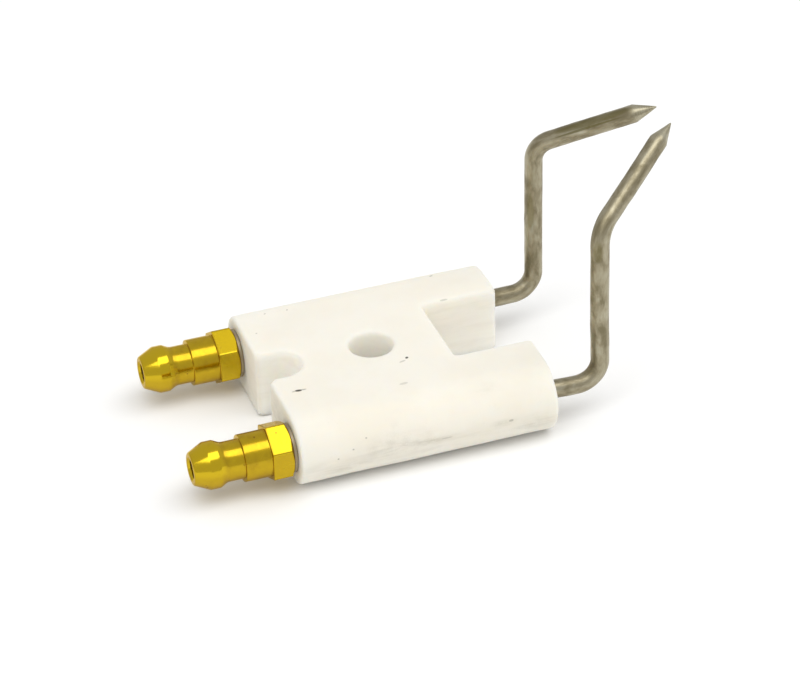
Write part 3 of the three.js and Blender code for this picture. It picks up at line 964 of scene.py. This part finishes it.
def build_rod(shape, hand, material):
    """One rod, from its threaded tail inside the terminal to its ground point."""
    side = SIDES[hand]
    centres, sides, ups, along = rod_axis(shape, side)
    left = along[-1] - along
    outside = ease(centres[:, 0], BLOCK_HIGH.x, BLOCK_HIGH.x + 3 * MM) * ease(left, 0, 4 * MM)
    for axis, seed in ((sides, 21), (ups, 22)):
        drift = shape.kink * ripple(centres + side * BORE_Y, KINK_LENGTH, seed)
        centres = centres + axis * (drift * outside)[:, None]

    angles = np.linspace(0, FULL_TURN, ROD_AROUND, endpoint=False)
    in_block = (along < along[np.argmax(centres[:, 0] > BLOCK_HIGH.x)]).astype(float)
    radius = rod_radius(shape, centres[:, 0], along, left, angles, in_block)
    across = np.cos(angles)[:, None] * sides[:, None] + np.sin(angles)[:, None] * ups[:, None]
    rings = centres[:, None] + radius[..., None] * across
    worn = 1 + WEAR * ripple(rings.reshape(-1, 3), 2.2 * MM, 23 + side).reshape(radius.shape)
    radius_worn = radius * np.where(outside[:, None] > 0, worn, 1)
    points, faces = skin(centres[:, None] + radius_worn[..., None] * across)
    mesh = new_mesh(f"electrode_rod_{hand}_wire", points, faces)

    drawn = np.zeros((len(points), 3))
    lengths = [along[:, None] + np.zeros(ROD_AROUND), radius * np.cos(angles), radius * np.sin(angles)]
    drawn[:radius.size] = np.stack([values.ravel() for values in lengths], axis=1) / MM
    drawn[-1, 0] = along[-1] / MM
    drawn[:, 0] += RODS_APART * side
    carry(mesh, "drawn", drawn, "FLOAT_VECTOR")
    at_point = 1 - ease(left, 0.96 * shape.point_length, 1.04 * shape.point_length)
    carry(mesh, "ground", [*np.repeat(at_point, ROD_AROUND), 0, 1])
    piece = new_piece(mesh.name, mesh, material, 32)
    settle(piece, f"electrode_rod_{hand}")


# ---------------------------------------------------------------- snap terminals

THREAD_SHOWN = 3.5 * MM
BLUNT = 0.05 * MM  # taken off the hexagon's corners
BEVEL = 0.07 * MM
HEX_CORNERS = 6
CORNER_SPAN = 60
NEAR_CORNER = (0.9, 1.8, 3.6)
FLAT_STEP = 3.75
CHAMFER_SLOPE = math.tan(math.radians(30))


def hexagon_angles(turn):
    """Angles round a terminal, closer together at the hexagon's corners, which start at the top."""
    flat = np.arange(2 * FLAT_STEP, CORNER_SPAN - FLAT_STEP - NEAR_CORNER[-1], FLAT_STEP)
    sector = [0, *NEAR_CORNER, *flat, *(CORNER_SPAN - near for near in reversed(NEAR_CORNER))]
    starts = [90 + CORNER_SPAN * corner for corner in range(HEX_CORNERS)]
    return np.radians([begin + step for begin in starts for step in sector]) + turn


def terminal_places(shape):
    """Where one turned feature meets the next along x, from the front face to the spigot's end."""
    low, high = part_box("snap_terminal_left")
    hexagon = SEAT_X - shape.hexagon
    barrel = hexagon - shape.barrel_length
    neck = barrel - shape.neck_length
    land = neck - shape.head_back
    return low.x, land - shape.head_land, land, neck, barrel, hexagon, high.x


def hexagon_wall(shape, hex_x, angles, turn):
    """Rings over the hexagon, from the barrel's shoulder to the chamfer that faces the ceramic."""
    from_middle = (np.degrees(angles - turn) - 90) % CORNER_SPAN - CORNER_SPAN / 2
    prism = shape.across_flats / 2 / np.cos(np.radians(from_middle))
    prism = np.minimum(prism, prism.max() - BLUNT)
    barrel = shape.barrel / 2
    wall = [(hex_x, barrel + (prism - barrel) * share) for share in (0.25, 0.6)]
    wall.append((hex_x, prism - BEVEL))
    wall.append((hex_x + 0.3 * BEVEL, prism - 0.3 * BEVEL))
    wall.append((hex_x + BEVEL, prism))
    wall += [(x, prism) for x in np.linspace(hex_x + 2 * BEVEL, SEAT_X - 1.6 * shape.chamfer, 6)]
    cap = shape.across_flats / math.sqrt(3) + 0.1 * MM
    for x in np.linspace(SEAT_X - 1.3 * shape.chamfer, SEAT_X, 12):
        limit = cap - (x - (SEAT_X - shape.chamfer)) / CHAMFER_SLOPE
        wall.append((x, np.minimum(prism, limit)))
    return wall


def bore_thread(shape, pitch, face_x, angles):
    """Rings of the bore's thread, from inside the terminal out to its mouth."""
    mouth_x = face_x + shape.mouth_depth
    x = np.arange(face_x + THREAD_SHOWN, mouth_x, -pitch / THREAD_STEPS)
    depth = shape.thread_depth * (1 - thread_groove(x, pitch, angles))
    depth *= ease(x, mouth_x, mouth_x + shape.mouth_depth)[:, None]
    return list(zip(x, shape.bore / 2 + depth))


def terminal_rings(shape, pitch, side, turn):
    """The closed skin of one terminal, and at each ring how much it is hexagon and how much corner."""
    face_x, cone_x, land_x, neck_x, barrel_x, hex_x, spigot_x = terminal_places(shape)
    angles = hexagon_angles(turn)
    front = softened([
        (face_x + shape.mouth_depth, shape.bore / 2, 0),
        (face_x, shape.mouth / 2, 0.06 * MM),
        (face_x, shape.face / 2, 0.22 * MM),
        (cone_x, shape.head / 2, 0.10 * MM),
        (land_x, shape.head / 2, 0.16 * MM),
        (neck_x, shape.neck / 2, 0.35 * MM),
        (barrel_x, shape.neck / 2, 0.10 * MM),
        (barrel_x, shape.barrel / 2, 0.10 * MM),
        (hex_x, shape.barrel / 2, 0.08 * MM),
        (hex_x, shape.across_flats / 2, 0),
    ])[:-1]
    wall = hexagon_wall(shape, hex_x, angles, turn)
    back = softened([
        (SEAT_X, 0.48 * shape.across_flats, 0),
        (SEAT_X, shape.spigot / 2, 0.1 * MM),
        (spigot_x, shape.spigot / 2, 0.2 * MM),
        (spigot_x, shape.bore / 2, 0.1 * MM),
        (spigot_x - 1 * MM, shape.bore / 2, 0),
    ])[1:]
    stations = [*front, *wall, *back, *bore_thread(shape, pitch, face_x, angles)]
    x = np.array([place for place, _ in stations])
    radius = np.array([reach + np.zeros(len(angles)) for _, reach in stations])

    is_hexagon = np.zeros(len(stations))
    is_hexagon[len(front) + 3:len(front) + len(wall)] = 1
    corners = ((barrel_x, 0.35 * MM), (hex_x, 0.35 * MM), (neck_x, 0.9 * MM), (face_x, 0.25 * MM))
    corner = sum(np.exp(-(((x - place) / reach) ** 2)) for place, reach in corners)
    return rings_about_bore(x, radius, angles, side), is_hexagon, np.clip(corner, 0, 1)


def build_terminal(shape, pitch, hand, material):
    """One snap terminal, with its spigot inside the block."""
    turn = {"left": shape.left_turn, "right": shape.right_turn}[hand]
    rings, is_hexagon, corner = terminal_rings(shape, pitch, SIDES[hand], turn)
    around = rings.shape[1]
    mesh = new_mesh(f"snap_terminal_{hand}_turned", *skin(rings, loop=True))
    carry(mesh, "hexagon", np.repeat(is_hexagon, around))
    carry(mesh, "corner", np.repeat(corner, around))
    piece = new_piece(mesh.name, mesh, material, 34)
    settle(piece, f"snap_terminal_{hand}")


# ---------------------------------------------------------------- washers and cement

def build_washer(shape, hand, material):
    """One stamped washer between a hexagon and the ceramic."""
    low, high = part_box(f"washer_{hand}")
    rim = (high.z - low.z) / 2
    outline = softened([
        (low.x, shape.hole / 2, shape.edge),
        (low.x, rim, shape.edge * 1.8),
        (high.x, rim, shape.edge),
        (high.x, shape.hole / 2, shape.edge),
    ], 5)
    angles = np.linspace(0, FULL_TURN, 96, endpoint=False)
    x = outline[:, :1] + shape.warp * np.cos(3 * angles + SIDES[hand])
    rings = rings_about_bore(x, outline[:, 1], angles, SIDES[hand])
    mesh = new_mesh(f"washer_{hand}_stamped", *skin(rings, loop=True))
    settle(new_piece(mesh.name, mesh, material, 40), f"washer_{hand}")


def build_cement(shape, rod, pocket, hand, material):
    """The cement in one pocket: clear of the ears inside, creeping up the wire at its face."""
    side = SIDES[hand]
    low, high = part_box(f"rod_cement_{hand}")
    outer = pocket / 2 + shape.bond
    wire = rod.wire / 2 + shape.clearance
    ears = rod.ear_width / 2 + shape.clearance
    ears_end = low.x + rod.ear_length
    face = np.linspace(outer, wire, 22)
    climb = np.exp(-(face - wire) / (0.35 * MM)) + 0.5 * np.exp(-(outer - face) / (0.25 * MM))
    face_x = high.x - 0.5 * shape.creep + shape.creep * climb
    outline = [(ears_end, wire), (ears_end, ears), (low.x, ears), (low.x, outer)]
    outline += [(x, outer) for x in np.linspace(low.x, face_x[0], 12)[1:-1]]
    outline += list(zip(face_x, face))
    outline += [(x, wire) for x in np.linspace(face_x[-1], ears_end, 10)[1:-1]]
    outline = np.array(outline)
    angles = np.linspace(0, FULL_TURN, 96, endpoint=False)
    rings = rings_about_bore(outline[:, 0], outline[:, 1], angles, side)
    points = rings.reshape(-1, 3)
    lumps = ripple(points, 0.9 * MM, 31 + side) + 0.5 * ripple(points, 0.35 * MM, 41)
    open_face = ease(rings[..., 0], high.x - shape.creep, high.x - 0.3 * shape.creep)
    rings[..., 0] += shape.roughness * lumps.reshape(rings.shape[:2]) * open_face
    mesh = new_mesh(f"rod_cement_{hand}_set", *skin(rings, loop=True))
    settle(new_piece(mesh.name, mesh, material, 50), f"rod_cement_{hand}")


# ---------------------------------------------------------------- stage

FLOOR_HALF = 3.0
FLOOR_DROP = 0.07 * MM


def build_floor(look):
    """A plain pale floor just under the block."""
    z = BLOCK_LOW.z - FLOOR_DROP
    signs = ((-1, -1), (1, -1), (1, 1), (-1, 1))
    corners = [(x * FLOOR_HALF, y * FLOOR_HALF, z) for x, y in signs]
    mesh = bpy.data.meshes.new("floor")
    mesh.from_pydata(corners, [], [(0, 1, 2, 3)])
    mesh.materials.append(floor_finish(look))
    new_object("floor", mesh)


def build_lights(look):
    """A large softbox overhead and a plain grey surround."""
    light = bpy.data.lights.new("softbox", "AREA")
    light.shape = "RECTANGLE"
    light.size, light.size_y = look.softbox_length, look.softbox_width
    light.energy = look.softbox * math.pi * light.size * light.size_y
    softbox = new_object("softbox", light)
    away = Vector(look.softbox_from).normalized()
    softbox.location = away * look.softbox_height
    softbox.rotation_euler = away.to_track_quat("Z", "Y").to_euler()

    world = bpy.data.worlds.new("surround")
    world.use_nodes = True
    background = world.node_tree.nodes["Background"]
    background.inputs["Color"].default_value = (1, 1, 1, 1)
    background.inputs["Strength"].default_value = look.surround
    bpy.context.scene.world = world
    bpy.context.scene.view_settings.view_transform = "Standard"


def build_camera(look):
    """The camera, from its angles, its distance and its target."""
    cos_azimuth, sin_azimuth = math.cos(look.azimuth), math.sin(look.azimuth)
    cos_elevation, sin_elevation = math.cos(look.elevation), math.sin(look.elevation)
    back = Vector((sin_azimuth * cos_elevation, -cos_azimuth * cos_elevation, sin_elevation))
    level = Vector((cos_azimuth, sin_azimuth, 0))
    upright = back.cross(level)
    right = level * math.cos(look.roll) + upright * math.sin(look.roll)
    up = back.cross(right)
    camera = new_object("camera", bpy.data.cameras.new("camera"))
    camera.data.lens = look.lens
    camera.data.clip_start = 0.01
    place = Vector((0, 0, AXIS_Z)) + Vector(look.target) + back * look.away
    turn = Matrix((right, up, back)).transposed().to_4x4()
    camera.matrix_world = Matrix.Translation(place) @ turn
    bpy.context.scene.camera = camera


# ---------------------------------------------------------------- operators and panel

class ELECTRODE_OT_block(Operator):
    """Model the ceramic block"""

    bl_idname = "electrode.block"
    bl_label = "Ceramic block"

    def execute(self, context):
        build_block(context.scene.electrode_block)
        return {"FINISHED"}


class ELECTRODE_OT_rods(Operator):
    """Model both electrode rods"""

    bl_idname = "electrode.rods"
    bl_label = "Electrode rods"

    def execute(self, context):
        shape = context.scene.electrode_rods
        material = alloy_finish(shape)
        for hand in SIDES:
            build_rod(shape, hand, material)
        return {"FINISHED"}


class ELECTRODE_OT_terminals(Operator):
    """Model both snap terminals"""

    bl_idname = "electrode.terminals"
    bl_label = "Snap terminals"

    def execute(self, context):
        shape = context.scene.electrode_terminals
        pitch = context.scene.electrode_rods.thread_pitch
        material = brass_finish(shape)
        for hand in SIDES:
            build_terminal(shape, pitch, hand, material)
        return {"FINISHED"}


class ELECTRODE_OT_washers(Operator):
    """Model both washers"""

    bl_idname = "electrode.washers"
    bl_label = "Washers"

    def execute(self, context):
        shape = context.scene.electrode_washers
        material = washer_finish(shape)
        for hand in SIDES:
            build_washer(shape, hand, material)
        return {"FINISHED"}


class ELECTRODE_OT_cement(Operator):
    """Model the cement in both pockets"""

    bl_idname = "electrode.cement"
    bl_label = "Rod cement"

    def execute(self, context):
        shape = context.scene.electrode_cement
        rod = context.scene.electrode_rods
        pocket = context.scene.electrode_block.cement_pocket
        material = cement_finish(shape)
        for hand in SIDES:
            build_cement(shape, rod, pocket, hand, material)
        return {"FINISHED"}


class ELECTRODE_OT_stage(Operator):
    """Set up the floor, the light and the camera"""

    bl_idname = "electrode.stage"
    bl_label = "Stage"

    def execute(self, context):
        look = context.scene.electrode_stage
        build_floor(look)
        build_lights(look)
        build_camera(look)
        return {"FINISHED"}


OPERATORS = (
    (ELECTRODE_OT_stage, "electrode_stage", StageSettings),
    (ELECTRODE_OT_block, "electrode_block", BlockSettings),
    (ELECTRODE_OT_rods, "electrode_rods", RodSettings),
    (ELECTRODE_OT_terminals, "electrode_terminals", TerminalSettings),
    (ELECTRODE_OT_washers, "electrode_washers", WasherSettings),
    (ELECTRODE_OT_cement, "electrode_cement", CementSettings),
)


class ELECTRODE_PT_parts(Panel):
    """The electrode's pieces and their settings"""

    bl_label = "Ignition electrode"
    bl_idname = "ELECTRODE_PT_parts"
    bl_space_type = "VIEW_3D"
    bl_region_type = "UI"
    bl_category = "Electrode"

    def draw(self, context):
        for operator, name, settings in OPERATORS:
            box = self.layout.box()
            box.operator(operator.bl_idname)
            for key in settings.__annotations__:
                box.prop(getattr(context.scene, name), key)


def register():
    for operator, name, settings in OPERATORS:
        bpy.utils.register_class(settings)
        bpy.utils.register_class(operator)
        setattr(bpy.types.Scene, name, PointerProperty(type=settings))
    bpy.utils.register_class(ELECTRODE_PT_parts)


def unregister():
    bpy.utils.unregister_class(ELECTRODE_PT_parts)
    for operator, name, settings in reversed(OPERATORS):
        delattr(bpy.types.Scene, name)
        bpy.utils.unregister_class(operator)
        bpy.utils.unregister_class(settings)


def main():
    register()
    bpy.ops.electrode.stage()
    bpy.ops.electrode.block()
    bpy.ops.electrode.rods()
    bpy.ops.electrode.terminals()
    bpy.ops.electrode.washers()
    bpy.ops.electrode.cement()


if __name__ == "__main__":
    main()
